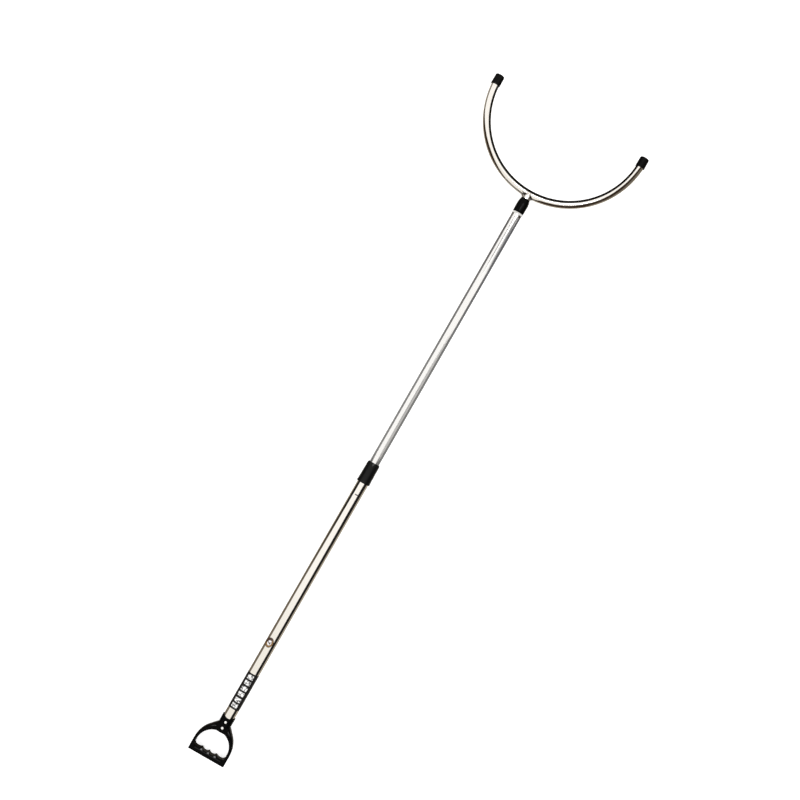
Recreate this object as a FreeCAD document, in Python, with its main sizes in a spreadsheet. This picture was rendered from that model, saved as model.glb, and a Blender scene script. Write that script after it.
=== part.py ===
"""Two-section telescopic restraint fork: D-handle, two steel tubes, twist-expander lock and a C-shaped head.

The pole lies along +X with its butt at -X and the fork at +X. The fork lies in the XY plane and +Z is up.
Every length along the pole is a station: millimetres from the butt face of the handle.
"""

import FreeCAD, Part
import math
import os
import re
import Sketcher

os.makedirs("parts", exist_ok=True)

DIMENSIONS = {
    # whole object
    "overall_length": 1993,
    "axis_height": 19,
    # tubes: outer radius and wall
    "lower_radius": 16,
    "upper_radius": 14,
    "fork_radius": 11,
    "tube_wall": 1,
    # D-handle
    "grip_half_width": 54.7,
    "grip_half_depth": 14,
    "side_straight": 32,
    "shoulder_arc": 75,
    "shoulder_angle": 43.2,
    "shoulder_end": 101.2,
    "shoulder_end_half": 17.5,
    "hand_half_width": 46.2,
    "hand_side_start": 20,
    "hand_side_end": 36,
    "hand_top": 80,
    "hand_top_half": 12,
    "hand_arc": 47,
    "tooth_tip": 21.5,
    "tooth_pitch": 20.7,
    "finger_arc": 10.9,
    "outer_scallop_arc": 19,
    "corner_round": 5,
    "outer_round": 5,
    "web_depth": 9,
    "web_tip": 75.5,
    "web_tip_half": 37,
    "web_foot": 86.6,
    "web_end": 92.4,
    "web_side": 18.6,
    "socket_foot": 80.5,
    "socket_foot_radius": 14.2,
    "socket_start": 86,
    "socket_radius": 17.6,
    "socket_mouth": 129,
    "socket_mouth_radius": 18.9,
    "socket_dip": 6,
    # rivets through the socket
    "rivet_first": 93.5,
    "rivet_second": 111.5,
    "rivet_radius": 2.5,
    "rivet_head_radius": 3.8,
    "rivet_seat": 17.1,
    "rivet_seat_gap": 0.4,
    "rivet_head_height": 1.4,
    # lower tube and what is on it
    "lower_start": 86,
    "lower_end": 906,
    "label_start": 152,
    "label_length": 108.5,
    "sticker_skin": 0.2,
    "badge_station": 356,
    "badge_offset": 4.6,
    "badge_half_length": 14.2,
    "badge_half_width": 10.8,
    "key_station": 817,
    "key_width": 3,
    "key_length": 8,
    "key_tip_radius": 14.35,
    "key_top_radius": 16.4,
    "key_turn": 2,
    # middle ferrule and the bush in its mouth
    "ferrule_start": 852.7,
    "ferrule_length": 61.6,
    "ferrule_radius": 19,
    "ferrule_body_radius": 18.4,
    "ferrule_top_radius": 17.4,
    "ferrule_mouth_radius": 15,
    "ferrule_foot_round": 2.5,
    "ferrule_waist_arc": 90,
    "ferrule_lip_arc": 6,
    "ferrule_waist": 12,
    "ferrule_lip": 5,
    "bush_length": 40,
    "running_gap": 0.08,
    "mouth_gap": 0.4,
    # upper tube
    "upper_start": 790,
    "upper_end": 1720,
    "ring_length": 16,
    "ring_gap": 0.3,
    # twist-expander lock
    "stud_radius": 4,
    "stud_start": 725,
    "stud_end": 812,
    "stud_chamfer": 1,
    "core_flange": 4,
    "core_length": 25,
    "washer_thickness": 2,
    "washer_radius": 12,
    "sleeve_start": 745,
    "sleeve_end": 783.6,
    "sleeve_bore": 5,
    "sleeve_mouth": 12.5,
    "cone_depth": 20,
    "cone_slope": 0.25,
    "cone_gap": 0.35,
    "cone_end_gap": 3,
    "cone_start": 737,
    "cone_rim": 13,
    "slot_width": 2.2,
    "slot_length": 30,
    "key_clearance": 0.3,
    "cone_key_foot": 3,
    "cone_key_reach": 9,
    "cone_key_rise": 1,
    "end_nut_length": 6,
    "end_nut_flats": 13,
    "end_nut_station": 728,
    # top ferrule and neck
    "cap_start": 1693.5,
    "cap_length": 43,
    "cap_radius": 15.6,
    "cap_straight": 29,
    "cap_top_radius": 12.2,
    "cap_foot_length": 1,
    "cap_foot_step": 0.8,
    "neck_ring_length": 5,
    "neck_ring_radius": 15.2,
    "reducer_start": 1660,
    "neck_pin_station": 1706,
    "neck_pin_radius": 2.5,
    "neck_pin_inset": 0.3,
    # fork
    "fork_center": 1978,
    "fork_bend": 225,
    "fork_tail": 12,
    "weld_start": 1737.5,
    "weld_end": 1750,
    "weld_foot_radius": 11.8,
    "weld_rim_radius": 16,
    "weld_half_depth": 12.4,
    # tip caps
    "tip_cap_start": 1963.5,
    "tip_cap_radius": 13.2,
    "tip_round": 4,
    "tip_lip_round": 1,
    # how far a tool overruns what it cuts
    "overrun": 1,
}

doc = FreeCAD.newDocument("RestraintFork")
sheet = doc.addObject("Spreadsheet::Sheet", "Dimensions")
for row, (alias, number) in enumerate(DIMENSIONS.items(), start=1):
    sheet.set(f"A{row}", alias)
    sheet.set(f"B{row}", str(number))
    sheet.setAlias(f"B{row}", alias)
doc.recompute()

ALIAS_WORD = re.compile(r"\b(" + "|".join(DIMENSIONS) + r")\b")
START, END = 1, 2
FLAT = 0.1  # an edge whose box is thinner than this lies flat
LEAST_CUT = 0.01  # a pocket that takes less than this volume has missed the body
subparts = []


def bound(formula):
    """The formula with each alias read from the sheet."""
    return ALIAS_WORD.sub(r"Dimensions.\1", formula)


def number_of(formula):
    """The formula's value now."""
    value = sheet.evalExpression(formula)
    return float(getattr(value, "Value", value))


def put_on_axis(thing, station="0", side="0", turn=0.0):
    """Places a sub-part in the row frame, with its own zero at a station along the pole."""
    thing.Placement = FreeCAD.Placement(FreeCAD.Vector(), FreeCAD.Rotation(FreeCAD.Vector(1, 0, 0), turn))
    thing.setExpression("Placement.Base.x", bound(f"{station} - overall_length / 2"))
    thing.setExpression("Placement.Base.y", bound(side))
    thing.setExpression("Placement.Base.z", bound("axis_height"))


def deliver(thing, label):
    """Names a finished sub-part, which is then written to its own file."""
    thing.Label = label
    subparts.append(thing)


def new_body(label, side="0", turn=0.0):
    body = doc.addObject("PartDesign::Body", label + "_body")
    put_on_axis(body, side=side, turn=turn)
    deliver(body, label)
    return body


def new_sketch(body, name, role, offset="0"):
    """A sketch on one of the body's own origin planes, moved along the plane's normal by offset."""
    sketch = body.newObject("Sketcher::SketchObject", name)
    plane = next(f for f in body.Origin.OriginFeatures if f.Role == role)
    sketch.AttachmentSupport = [(plane, "")]
    sketch.MapMode = "FlatFace"
    sketch.setExpression("AttachmentOffset.Base.z", bound(offset))
    return sketch


def pin_point(sketch, edge, end, point):
    """Holds a point of an edge at the two coordinates that the formulas give."""
    for kind, formula in zip(("DistanceX", "DistanceY"), point):
        index = sketch.addConstraint(Sketcher.Constraint(kind, -1, 1, edge, end, number_of(formula)))
        sketch.setExpression(f"Constraints[{index}]", bound(formula))


def draw_edges(sketch, steps, edge_count):
    """Draws edges through the steps. A step is (x, y) for a straight edge that starts there, or
    (x, y, radius, side) for an arc, where side is 1 if the arc bulges to the left of its way and -1 if not."""
    first = sketch.GeometryCount
    points = [FreeCAD.Vector(number_of(s[0]), number_of(s[1]), 0) for s in steps]
    up = FreeCAD.Vector(0, 0, 1)
    ends = []
    for index in range(edge_count):
        a, b = points[index], points[(index + 1) % len(steps)]
        if len(steps[index]) == 2:
            sketch.addGeometry(Part.LineSegment(a, b), False)
            ends.append((START, END))
            continue
        radius, side = number_of(steps[index][2]), steps[index][3]
        half = (b - a).Length / 2
        left = up.cross(b - a).normalize() * side
        crown = (a + b) * 0.5 + left * (radius - math.sqrt(radius**2 - half**2))
        sketch.addGeometry(Part.Arc(a, crown, b), False)
        ends.append((END, START) if side > 0 else (START, END))
        bend = sketch.addConstraint(Sketcher.Constraint("Radius", first + index, radius))
        sketch.setExpression(f"Constraints[{bend}]", bound(steps[index][2]))
    for index in range(edge_count):
        pin_point(sketch, first + index, ends[index][0], steps[index])
        after = (index + 1) % edge_count
        if after or edge_count == len(steps):
            sketch.addConstraint(Sketcher.Constraint(
                "Coincident", first + index, ends[index][1], first + after, ends[after][0]))
    if edge_count < len(steps):
        pin_point(sketch, first + edge_count - 1, ends[-1][1], steps[-1])


def closed_outline(sketch, steps):
    draw_edges(sketch, steps, len(steps))


def open_path(sketch, steps):
    draw_edges(sketch, steps, len(steps) - 1)


def circle(sketch, x, y, radius):
    middle = FreeCAD.Vector(number_of(x), number_of(y), 0)
    edge = sketch.addGeometry(Part.Circle(middle, FreeCAD.Vector(0, 0, 1), number_of(radius)), False)
    pin_point(sketch, edge, 3, (x, y))
    size = sketch.addConstraint(Sketcher.Constraint("Radius", edge, number_of(radius)))
    sketch.setExpression(f"Constraints[{size}]", bound(radius))


def rectangle(sketch, x_low, y_low, x_high, y_high):
    closed_outline(sketch, [(x_low, y_low), (x_high, y_low), (x_high, y_high), (x_low, y_high)])


def mirrored_outline(half):
    """A closed outline from its upper half. The half's last edge runs straight to its mirror image, and a
    half that starts off the axis is closed the same way."""
    back = [(after[0], f"-({after[1]})", *here[2:]) for here, after in zip(half[:-1], half[1:])]
    back.reverse()
    if half[0][1] != "0":
        back.append((half[0][0], f"-({half[0][1]})"))
    return half + back


def turned(body, name, steps):
    """A solid turned about the pole's axis from an outline of (station, radius) steps."""
    sketch = new_sketch(body, name + "_outline", "XY_Plane")
    closed_outline(sketch, steps)
    solid = body.newObject("PartDesign::Revolution", name)
    solid.Profile = sketch
    solid.ReferenceAxis = (sketch, ["H_Axis"])
    solid.Angle = 360
    sketch.Visibility = False
    return solid


def turned_part(label, steps, side="0"):
    body = new_body(label, side=side)
    turned(body, label + "_turning", steps)
    return body


def tube_part(label, start, end, outer, inner):
    """A straight tube along the pole."""
    body = new_body(label)
    sketch = new_sketch(body, label + "_ring", "YZ_Plane", start)
    circle(sketch, "0", "0", outer)
    circle(sketch, "0", "0", inner)
    pad = body.newObject("PartDesign::Pad", label + "_pad")
    pad.Profile = sketch
    pad.setExpression("Length", bound(f"{end} - ({start})"))
    return body


def round_edges(body, name, base, radius, chosen):
    """A fillet on the edges of the base feature whose bounding box, in the body's own frame, is chosen."""
    names = []
    for index, edge in enumerate(base.Shape.Edges, start=1):
        if chosen(edge.optimalBoundingBox(False)):
            names.append(f"Edge{index}")
    fillet = body.newObject("PartDesign::Fillet", name)
    fillet.Base = (base, names)
    fillet.setExpression("Radius", bound(radius))
    doc.recompute()
    return fillet


def pocket(body, name, sketch, **settings):
    """A pocket from the sketch plane all through the body. The settings say which way it runs."""
    doc.recompute()
    before = body.Shape.Volume
    result = body.newObject("PartDesign::Pocket", name)
    result.Profile = sketch
    result.Type = "ThroughAll"
    for setting, value in settings.items():
        setattr(result, setting, value)
    doc.recompute()
    if not body.Shape.Volume < before - LEAST_CUT:
        raise RuntimeError(f"{name} cuts nothing")


def cut_through(body, name, sketch):
    pocket(body, name, sketch, Midplane=True)


def cut_outwards(body, name, sketch, upwards):
    """A cut on one side of the sketch plane only, up or down."""
    pocket(body, name, sketch, Reversed=upwards)


# ---------------------------------------------------------------- D-handle

SHOULDER_END = "side_straight + shoulder_arc * sin(shoulder_angle)"
SHOULDER_HALF = "grip_half_width - shoulder_arc * (1 - cos(shoulder_angle))"
RIVET_STATIONS = ("rivet_first", "rivet_second")


def handle_plate(body):
    """The flat D: its outline and the hand opening with three finger teeth."""
    sketch = new_sketch(body, "handle_outline", "XY_Plane")
    closed_outline(sketch, mirrored_outline([
        ("0", "grip_half_width"),
        ("side_straight", "grip_half_width", "shoulder_arc", 1),
        (SHOULDER_END, SHOULDER_HALF),
        ("shoulder_end", "shoulder_end_half"),
    ]))
    closed_outline(sketch, mirrored_outline([
        ("tooth_tip", "0", "finger_arc", 1),
        ("tooth_tip", "tooth_pitch", "outer_scallop_arc", 1),
        ("hand_side_start", "hand_half_width"),
        ("hand_side_end", "hand_half_width", "hand_arc", 1),
        ("hand_top", "hand_top_half"),
    ]))
    pad = body.newObject("PartDesign::Pad", "handle_pad")
    pad.Profile = sketch
    pad.Midplane = True
    pad.setExpression("Length", bound("2 * grip_half_depth"))
    doc.recompute()
    corners = round_edges(body, "grip_corners", pad, "corner_round", is_butt_corner)
    round_edges(body, "outer_rounding", corners, "outer_round", is_outer_rim)


def is_butt_corner(box):
    """The two edges that stand on the butt face's corners."""
    return box.XMax < FLAT and box.ZLength > DIMENSIONS["grip_half_depth"]


def is_outer_rim(box):
    """An edge of either face that lies on the handle's outer outline."""
    if box.ZLength > FLAT or abs(abs(box.ZMin) - DIMENSIONS["grip_half_depth"]) > FLAT:
        return False
    middle = box.Center.x
    on_butt = box.XMax < FLAT
    on_side = max(abs(box.YMin), abs(box.YMax)) > DIMENSIONS["hand_half_width"] + DIMENSIONS["overrun"]
    on_shoulder = middle > DIMENSIONS["hand_top"] + FLAT and box.XLength > FLAT
    return on_butt or on_side or on_shoulder


def handle_socket(body):
    """The round socket, which grows out of the plate above the hand opening."""
    turned(body, "socket_turning", [
        ("socket_foot", "0"),
        ("socket_mouth", "0"),
        ("socket_mouth", "socket_mouth_radius"),
        ("socket_start", "socket_radius"),
        ("socket_foot", "socket_foot_radius"),
    ])


def handle_webs(body):
    """Recesses in both faces of each shoulder, which leave a thin web between two ribs."""
    for face, upwards in (("grip_half_depth - web_depth", True), ("web_depth - grip_half_depth", False)):
        for side in ("", "-1 * "):
            name = f"web_{'front' if upwards else 'back'}_{'left' if side else 'right'}"
            sketch = new_sketch(body, name, "XY_Plane", face)
            corners = [("web_tip", "web_tip_half"), ("web_foot", "web_side"), ("web_end", "web_side")]
            if side:
                corners.reverse()
            closed_outline(sketch, [(x, side + y) for x, y in corners])
            cut_outwards(body, name + "_recess", sketch, upwards)


def handle_bore(body):
    """The tube's bore, the scalloped mouth, and the rivet holes with their seats."""
    bore = new_sketch(body, "bore_circle", "YZ_Plane", "lower_start")
    circle(bore, "0", "0", "lower_radius")
    cut_outwards(body, "tube_bore", bore, True)
    mouth = new_sketch(body, "mouth_circle", "XY_Plane")
    scallop = "(socket_mouth_radius ^ 2 + socket_dip ^ 2) / (2 * socket_dip)"
    circle(mouth, f"socket_mouth - socket_dip + {scallop}", "0", scallop)
    cut_through(body, "mouth_scallop", mouth)
    holes = new_sketch(body, "rivet_circles", "XY_Plane")
    for station in RIVET_STATIONS:
        circle(holes, station, "0", "rivet_radius")
    cut_through(body, "rivet_holes", holes)
    for height, upwards in (("rivet_seat", True), ("-rivet_seat", False)):
        seats = new_sketch(body, "seats_up" if upwards else "seats_down", "XY_Plane", height)
        for station in RIVET_STATIONS:
            circle(seats, station, "0", "rivet_head_radius + rivet_seat_gap")
        cut_outwards(body, "rivet_seats_up" if upwards else "rivet_seats_down", seats, upwards)


def make_handle():
    body = new_body("d_handle")
    handle_plate(body)
    handle_socket(body)
    handle_webs(body)
    handle_bore(body)


def make_handle_rivets():
    """Two rivets through the socket and the tube, each with a head at both ends."""
    rivets = []
    for index, station in enumerate(RIVET_STATIONS, start=1):
        shank = doc.addObject("Part::Cylinder", f"rivet_shank_{index}")
        shank.setExpression("Radius", bound("rivet_radius"))
        shank.setExpression("Height", bound("2 * rivet_seat"))
        shank.setExpression("Placement.Base.x", bound(station))
        shank.setExpression("Placement.Base.z", bound("-rivet_seat"))
        pieces = [shank]
        for end, base in (("top", "rivet_seat"), ("bottom", "-rivet_seat - rivet_head_height")):
            head = doc.addObject("Part::Cylinder", f"rivet_head_{end}_{index}")
            head.setExpression("Radius", bound("rivet_head_radius"))
            head.setExpression("Height", bound("rivet_head_height"))
            head.setExpression("Placement.Base.x", bound(station))
            head.setExpression("Placement.Base.z", bound(base))
            pieces.append(head)
        rivet = doc.addObject("Part::MultiFuse", f"rivet_{index}")
        rivet.Shapes = pieces
        rivets.append(rivet)
    pair = doc.addObject("Part::Compound", "handle_rivet_pair")
    pair.Links = rivets
    put_on_axis(pair)
    deliver(pair, "handle_rivets")


# ---------------------------------------------------------------- lower tube and what is on it


def make_lower_tube():
    body = tube_part("lower_tube", "lower_start", "lower_end", "lower_radius", "lower_radius - tube_wall")
    holes = new_sketch(body, "tube_rivet_circles", "XY_Plane")
    for station in RIVET_STATIONS:
        circle(holes, station, "0", "rivet_radius")
    cut_through(body, "tube_rivet_holes", holes)
    slot = new_sketch(body, "stop_slot", "XY_Plane")
    lean = FreeCAD.Rotation(FreeCAD.Vector(1, 0, 0), DIMENSIONS["key_turn"])
    slot.AttachmentOffset = FreeCAD.Placement(FreeCAD.Vector(), lean)
    slot.setExpression("AttachmentOffset.Rotation.Angle", bound("key_turn"))
    rectangle(slot, "key_station - key_width / 2", "-key_length / 2",
              "key_station + key_width / 2", "key_length / 2")
    cut_outwards(body, "stop_slot_cut", slot, True)


def make_stop_key():
    """A pressed-in key that stands into the bore and stops the guide ring."""
    body = new_body("stop_key", turn=DIMENSIONS["key_turn"])
    sketch = new_sketch(body, "stop_key_section", "YZ_Plane", "key_station - key_width / 2")
    half = "key_length / 2"
    inner = "sqrt(key_tip_radius ^ 2 - (key_length / 2) ^ 2)"
    outer = "sqrt(key_top_radius ^ 2 - (key_length / 2) ^ 2)"
    closed_outline(sketch, [
        (f"-{half}", inner, "key_tip_radius", 1),
        (half, inner),
        (half, outer, "key_top_radius", -1),
        (f"-{half}", outer),
    ])
    pad = body.newObject("PartDesign::Pad", "stop_key_pad")
    pad.Profile = sketch
    pad.setExpression("Length", bound("key_width"))


def make_badge():
    """A thin oval sticker that follows the tube's round surface."""
    skin = doc.addObject("Part::Cylinder", "badge_skin_outer")
    skin.setExpression("Radius", bound("lower_radius + sticker_skin"))
    core = doc.addObject("Part::Cylinder", "badge_skin_inner")
    core.setExpression("Radius", bound("lower_radius"))
    for cylinder in (skin, core):
        cylinder.setExpression("Height", bound("4 * badge_half_length"))
        cylinder.Placement.Rotation = FreeCAD.Rotation(FreeCAD.Vector(0, 1, 0), 90)
        cylinder.setExpression("Placement.Base.x", bound("-2 * badge_half_length"))
    shell = doc.addObject("Part::Cut", "badge_shell")
    shell.Base = skin
    shell.Tool = core
    outline = doc.addObject("Part::Ellipse", "badge_ellipse")
    outline.setExpression("MajorRadius", bound("badge_half_length"))
    outline.setExpression("MinorRadius", bound("badge_half_width"))
    outline.setExpression("Placement.Base.y", bound("badge_offset"))
    prism = doc.addObject("Part::Extrusion", "badge_prism")
    prism.Base = outline
    prism.Dir = FreeCAD.Vector(0, 0, 1)
    prism.DirMode = "Custom"
    prism.setExpression("LengthFwd", bound("2 * lower_radius"))
    prism.Solid = True
    badge = doc.addObject("Part::Common", "badge_patch")
    badge.Base = shell
    badge.Tool = prism
    put_on_axis(badge, station="badge_station")
    deliver(badge, "oval_badge")


def make_lower_ferrule():
    """The black collar over the lower tube's mouth, with a rounded foot and a drawn-in lip."""
    turned_part("lower_ferrule", [
        ("ferrule_start", "lower_radius"),
        ("lower_end", "lower_radius"),
        ("lower_end", "upper_radius + mouth_gap"),
        ("ferrule_start + ferrule_length", "upper_radius + mouth_gap"),
        ("ferrule_start + ferrule_length", "ferrule_mouth_radius", "ferrule_lip_arc", -1),
        ("ferrule_start + ferrule_length - ferrule_lip", "ferrule_top_radius"),
        ("ferrule_start + ferrule_waist", "ferrule_body_radius", "ferrule_waist_arc", -1),
        ("ferrule_start + ferrule_foot_round", "ferrule_radius", "ferrule_foot_round", -1),
        ("ferrule_start", "ferrule_radius - ferrule_foot_round"),
    ])


def make_lower_pole():
    make_handle()
    make_handle_rivets()
    make_lower_tube()
    tube_part("label_band", "label_start", "label_start + label_length",
              "lower_radius + sticker_skin", "lower_radius")
    make_badge()
    make_stop_key()
    make_lower_ferrule()
    tube_part("mouth_bush", "lower_end - bush_length", "lower_end",
              "lower_radius - tube_wall", "upper_radius + running_gap")


# ---------------------------------------------------------------- twist-expander lock

CONE_TIP = "sleeve_start + cone_depth - cone_end_gap"
CONE_TIP_RADIUS = "sleeve_mouth - cone_gap - cone_slope * (cone_depth - cone_end_gap)"
CONE_SHOULDER = "sleeve_start - (cone_rim - sleeve_mouth + cone_gap) / cone_slope"


def make_expander_sleeve():
    """The nylon sleeve: a tapered mouth and four slots let the cone spread it."""
    body = turned_part("expander_sleeve", [
        ("sleeve_start", "sleeve_mouth"),
        ("sleeve_start + cone_depth", "sleeve_mouth - cone_slope * cone_depth"),
        ("sleeve_start + cone_depth", "sleeve_bore"),
        ("sleeve_end", "sleeve_bore"),
        ("sleeve_end", "lower_radius - tube_wall - running_gap"),
        ("sleeve_start", "lower_radius - tube_wall - running_gap"),
    ])
    for plane in ("XY_Plane", "XZ_Plane"):
        slot = new_sketch(body, "slot_" + plane[:2].lower(), plane)
        rectangle(slot, "sleeve_start - overrun", "-slot_width / 2", "sleeve_start + slot_length", "slot_width / 2")
        cut_through(body, "slot_cut_" + plane[:2].lower(), slot)


def make_cone_nut():
    """The nut whose cone spreads the sleeve. Its key rides in one of the sleeve's slots."""
    body = turned_part("cone_nut", [
        ("cone_start", "stud_radius + running_gap"),
        (CONE_TIP, "stud_radius + running_gap"),
        (CONE_TIP, CONE_TIP_RADIUS),
        (CONE_SHOULDER, "cone_rim"),
        ("cone_start", "cone_rim"),
    ])
    sketch = new_sketch(body, "cone_key_outline", "XZ_Plane")
    rectangle(sketch, "cone_start", "stud_radius + cone_key_foot",
              "sleeve_start + cone_key_reach", "cone_rim + cone_key_rise")
    key = body.newObject("PartDesign::Pad", "cone_key")
    key.Profile = sketch
    key.Midplane = True
    key.setExpression("Length", bound("slot_width - 2 * key_clearance"))


def make_end_nut():
    body = new_body("end_nut")
    sketch = new_sketch(body, "end_nut_hexagon", "YZ_Plane", "end_nut_station")
    corner = "end_nut_flats / 2 / cos(30)"
    closed_outline(sketch, [
        (f"{corner} * cos({60 * side})", f"{corner} * sin({60 * side})") for side in range(6)
    ])
    circle(sketch, "0", "0", "stud_radius")
    pad = body.newObject("PartDesign::Pad", "end_nut_pad")
    pad.Profile = sketch
    pad.setExpression("Length", bound("end_nut_length"))


def make_lock():
    make_expander_sleeve()
    make_cone_nut()
    make_end_nut()
    turned_part("lock_core", [
        ("upper_start - core_flange", "stud_radius"),
        ("stud_end", "stud_radius"),
        ("stud_end", "0"),
        ("upper_start + core_length", "0"),
        ("upper_start + core_length", "upper_radius - tube_wall"),
        ("upper_start", "upper_radius - tube_wall"),
        ("upper_start", "upper_radius"),
        ("upper_start - core_flange", "upper_radius"),
    ])
    turned_part("lock_stud", [
        ("stud_start", "0"),
        ("stud_end", "0"),
        ("stud_end", "stud_radius"),
        ("stud_start + stud_chamfer", "stud_radius"),
        ("stud_start", "stud_radius - stud_chamfer"),
    ])
    tube_part("thrust_washer", "upper_start - core_flange - washer_thickness", "upper_start - core_flange",
              "washer_radius", "stud_radius")


# ---------------------------------------------------------------- upper tube, neck and fork

RING_END = "key_station - key_width / 2 - ring_gap"
STEM_TOP = "fork_center - fork_bend"


def axial_cylinder(name, start, end, radius):
    """A Part cylinder along the pole between two stations."""
    cylinder = doc.addObject("Part::Cylinder", name)
    cylinder.Placement = FreeCAD.Placement(FreeCAD.Vector(), FreeCAD.Rotation(FreeCAD.Vector(0, 1, 0), 90))
    cylinder.setExpression("Radius", bound(radius))
    cylinder.setExpression("Height", bound(f"{end} - ({start})"))
    cylinder.setExpression("Placement.Base.x", bound(start))
    return cylinder


def fork_ring(name):
    """A full ring with the fork tube's outer size, used to cope what meets the fork."""
    ring = doc.addObject("Part::Torus", name)
    ring.setExpression("Radius1", bound("fork_bend"))
    ring.setExpression("Radius2", bound("fork_radius"))
    ring.setExpression("Placement.Base.x", bound("fork_center"))
    return ring


def cut(name, base, tool):
    result = doc.addObject("Part::Cut", name)
    result.Base = base
    result.Tool = tool
    return result


def make_upper_tube():
    body = tube_part("upper_tube", "upper_start", "upper_end", "upper_radius", "upper_radius - tube_wall")
    hole = new_sketch(body, "tube_pin_circle", "XY_Plane")
    circle(hole, "neck_pin_station", "0", "neck_pin_radius")
    cut_through(body, "tube_pin_hole", hole)


def make_reducer_bush():
    body = tube_part("reducer_bush", "reducer_start", "upper_end", "upper_radius - tube_wall", "fork_radius")
    hole = new_sketch(body, "bush_pin_circle", "XY_Plane")
    circle(hole, "neck_pin_station", "0", "neck_pin_radius")
    cut_through(body, "bush_pin_hole", hole)


def make_neck_pin():
    pin = doc.addObject("Part::Cylinder", "neck_pin_cylinder")
    pin.setExpression("Radius", bound("neck_pin_radius"))
    pin.setExpression("Height", bound("2 * upper_radius - 2 * neck_pin_inset"))
    put_on_axis(pin, station="neck_pin_station")
    pin.setExpression("Placement.Base.z", bound("axis_height - upper_radius + neck_pin_inset"))
    deliver(pin, "neck_pin")


def make_stem_tube():
    """The stub under the fork, coped to the fork tube's round side."""
    outer = axial_cylinder("stem_outer", "reducer_start", STEM_TOP, "fork_radius")
    inner = axial_cylinder("stem_inner", "reducer_start - overrun", STEM_TOP + " + overrun",
                           "fork_radius - tube_wall")
    pin_hole = doc.addObject("Part::Cylinder", "stem_pin_hole")
    pin_hole.setExpression("Radius", bound("neck_pin_radius"))
    pin_hole.setExpression("Height", bound("4 * fork_radius"))
    pin_hole.setExpression("Placement.Base.x", bound("neck_pin_station"))
    pin_hole.setExpression("Placement.Base.z", bound("-2 * fork_radius"))
    hollow = cut("stem_hollow", outer, inner)
    drilled = cut("stem_drilled", hollow, pin_hole)
    coped = cut("stem_coped", drilled, fork_ring("stem_cope"))
    put_on_axis(coped)
    deliver(coped, "stem_tube")


def make_fork_tube():
    """The C: one tube bent to a half circle, with a short straight tail at each tip."""
    body = new_body("fork_tube")
    ring = new_sketch(body, "fork_section", "YZ_Plane", "fork_center + fork_tail")
    circle(ring, "-fork_bend", "0", "fork_radius")
    circle(ring, "-fork_bend", "0", "fork_radius - tube_wall")
    path = new_sketch(body, "fork_path", "XY_Plane")
    open_path(path, [
        ("fork_center + fork_tail", "-fork_bend"),
        ("fork_center", "-fork_bend", "fork_bend", 1),
        (STEM_TOP, "0", "fork_bend", 1),
        ("fork_center", "fork_bend"),
        ("fork_center + fork_tail", "fork_bend"),
    ])
    pipe = body.newObject("PartDesign::AdditivePipe", "fork_sweep")
    pipe.Profile = ring
    pipe.Spine = (path, ["Edge1", "Edge2", "Edge3", "Edge4"])


def make_weld_bead():
    """The fillet of weld metal where the stem meets the fork."""
    cone = doc.addObject("Part::Cone", "weld_cone")
    cone.Placement = FreeCAD.Placement(FreeCAD.Vector(), FreeCAD.Rotation(FreeCAD.Vector(0, 1, 0), 90))
    cone.setExpression("Radius1", bound("weld_foot_radius"))
    cone.setExpression("Radius2", bound("weld_rim_radius"))
    cone.setExpression("Height", bound("weld_end - weld_start"))
    cone.setExpression("Placement.Base.x", bound("weld_start"))
    slab = doc.addObject("Part::Box", "weld_slab")
    slab.setExpression("Length", bound("weld_end - weld_start"))
    slab.setExpression("Width", bound("4 * weld_rim_radius"))
    slab.setExpression("Height", bound("2 * weld_half_depth"))
    slab.setExpression("Placement.Base.x", bound("weld_start"))
    slab.setExpression("Placement.Base.y", bound("-2 * weld_rim_radius"))
    slab.setExpression("Placement.Base.z", bound("-weld_half_depth"))
    bead = doc.addObject("Part::Common", "weld_blank")
    bead.Base = cone
    bead.Tool = slab
    stem = axial_cylinder("weld_stem", "weld_start - overrun", "weld_end + overrun", "fork_radius")
    around = cut("weld_around_stem", bead, stem)
    coped = cut("weld_coped", around, fork_ring("weld_cope"))
    put_on_axis(coped)
    deliver(coped, "weld_bead")


def make_tip_caps():
    """The rubber caps on the two tips of the fork."""
    for label, side in (("end_cap_left", "fork_bend"), ("end_cap_right", "-fork_bend")):
        turned_part(label, [
            ("tip_cap_start", "fork_radius"),
            ("fork_center + fork_tail", "fork_radius"),
            ("fork_center + fork_tail", "0"),
            ("overall_length", "0"),
            ("overall_length", "tip_cap_radius - tip_round", "tip_round", -1),
            ("overall_length - tip_round", "tip_cap_radius"),
            ("tip_cap_start + tip_lip_round", "tip_cap_radius", "tip_lip_round", -1),
            ("tip_cap_start", "tip_cap_radius - tip_lip_round"),
        ], side=side)


def make_upper_pole():
    make_upper_tube()
    tube_part("guide_ring", RING_END + " - ring_length", RING_END,
              "lower_radius - tube_wall - running_gap", "upper_radius")
    turned_part("top_ferrule", [
        ("cap_start", "upper_radius"),
        ("upper_end", "upper_radius"),
        ("upper_end", "fork_radius"),
        ("cap_start + cap_length", "fork_radius"),
        ("cap_start + cap_length", "cap_top_radius"),
        ("cap_start + cap_straight", "cap_radius"),
        ("cap_start + cap_foot_length", "cap_radius"),
        ("cap_start", "cap_radius - cap_foot_step"),
    ])
    tube_part("neck_ring", "cap_start - neck_ring_length", "cap_start", "neck_ring_radius", "upper_radius")
    make_reducer_bush()
    make_neck_pin()
    make_stem_tube()
    make_fork_tube()
    make_weld_bead()
    make_tip_caps()


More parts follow.
